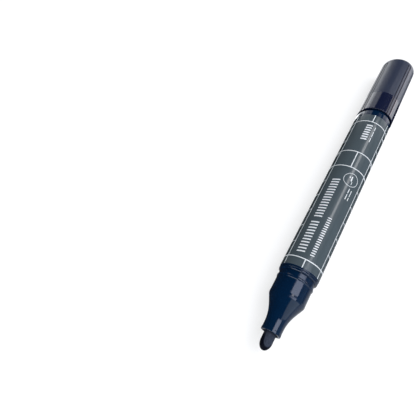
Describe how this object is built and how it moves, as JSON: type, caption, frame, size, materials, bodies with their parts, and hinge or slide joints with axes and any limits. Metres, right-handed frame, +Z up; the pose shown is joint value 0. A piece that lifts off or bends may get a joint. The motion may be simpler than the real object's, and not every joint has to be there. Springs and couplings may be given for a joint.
{
  "type": "whiteboard marker",
  "caption": "Round-barrelled whiteboard marker with a bullet nib, an ink reservoir inside and a pull-off cap that posts on the rear end.",
  "frame": {"origin": "on the marker's axis at the label's front edge, where the full-width barrel begins", "axes": "+X along the axis from the nib towards the rear end and the posted cap's closed end, +Z up with the marker lying on its side"},
  "size_m": [0.1567, 0.0162, 0.0162],
  "materials": {
    "navy_gloss": "moulded polypropylene, gloss",
    "navy_satin": "moulded polypropylene, fine grain with a polished band at the mouth",
    "label_film": "printed slate-grey film, satin gloss",
    "ink_felt": "bonded fibre, ink-stained",
    "ink_fibre": "polyester fibre bundle soaked in ink",
    "clear_film": "thin plastic skin, semi-clear"
  },
  "bodies": {
    "body": {"barrel": "navy_gloss", "label_wrap": "label_film", "front_section": "navy_gloss", "ink_reservoir": "ink_fibre", "reservoir_film": "clear_film", "rear_plug": "navy_gloss"},
    "nib_unit": {"nib": "ink_felt"},
    "cap": {"cap_shell": "navy_satin", "cap_liner": "navy_satin"}
  },
  "joints": [
    {"name": "cap_pull", "type": "slide", "parent": "body", "child": "cap", "axis": [1, 0, 0], "range_m": [0, 0.045]},
    {"name": "nib_pull", "type": "slide", "parent": "body", "child": "nib_unit", "axis": [-1, 0, 0], "range_m": [0, 0.04]}
  ]
}
